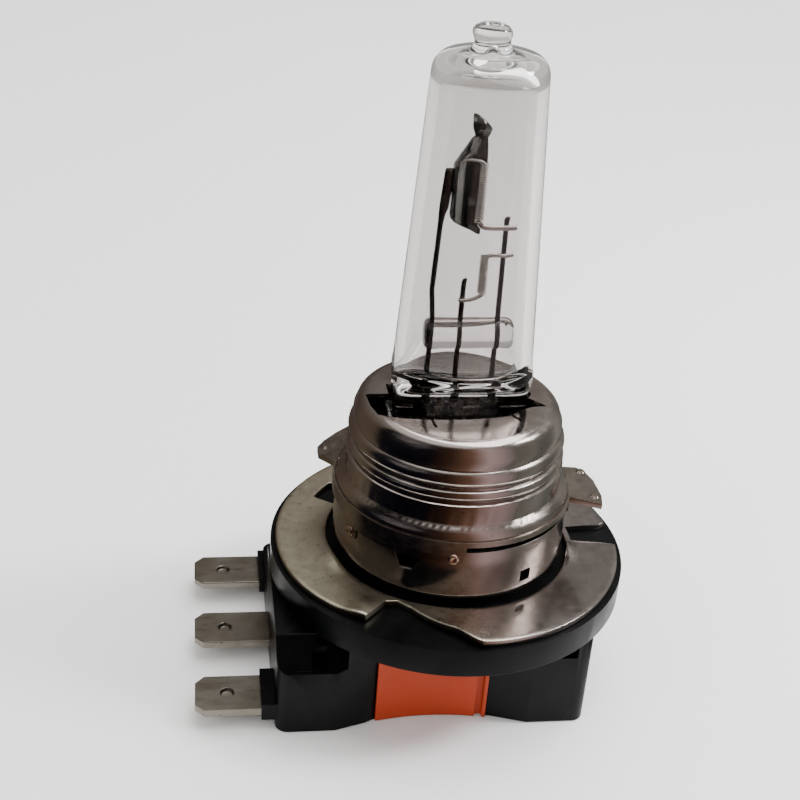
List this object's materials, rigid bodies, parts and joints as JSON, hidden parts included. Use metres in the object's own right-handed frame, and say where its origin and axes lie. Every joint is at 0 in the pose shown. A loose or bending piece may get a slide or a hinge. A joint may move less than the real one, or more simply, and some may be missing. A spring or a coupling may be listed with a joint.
{
  "type": "headlight bulb",
  "caption": "Halogen headlight bulb: clear tapered glass burner in a stepped metal cup, on a round flanged base with a black plastic connector block and side blades.",
  "frame": {"origin": "on the lamp axis, in the plane of the flange's top face", "axes": "+Z along the lamp axis to the tip of the glass; the connector blades point towards -X; -Y is the side with the cut-back flange edge"},
  "size_m": [0.043, 0.0354, 0.0647],
  "materials": {
    "glass": "clear polished quartz",
    "glass_rod": "clear polished quartz",
    "filament": "drawn tungsten",
    "molybdenum": "dark drawn molybdenum",
    "foil": "dark thin foil",
    "lead_metal": "plain metal",
    "cup_metal": "polished nickel plate",
    "collar_metal": "polished nickel plate",
    "clip_metal": "satin spring steel",
    "weld_metal": "bright weld",
    "flange_metal": "satin nickel plate with fine scratches",
    "blade_metal": "dull tin plate with stains",
    "black_plastic": "satin moulded",
    "orange_plastic": "satin moulded"
  },
  "bodies": {
    "root": {"glass_envelope": "glass", "quartz_bridge": "glass_rod", "main_beam_filament": "filament", "daylight_filament": "filament", "glare_shield": "molybdenum", "shield_lead": "molybdenum", "main_beam_lead": "molybdenum", "common_lead": "molybdenum", "seal_foil_left": "foil", "seal_foil_middle": "foil", "seal_foil_right": "foil", "outer_lead_left": "lead_metal", "outer_lead_middle": "lead_metal", "outer_lead_right": "lead_metal", "burner_cup": "cup_metal", "pinch_clip": "clip_metal", "lug_collar": "collar_metal", "weld_spots": "weld_metal", "base_sleeve": "cup_metal", "flange_ring": "flange_metal", "base_housing": "black_plastic", "terminal_carrier": "orange_plastic", "blade_front": "blade_metal", "blade_middle": "blade_metal", "blade_rear": "blade_metal", "lead_crimps": "lead_metal"}
  },
  "joints": []
}
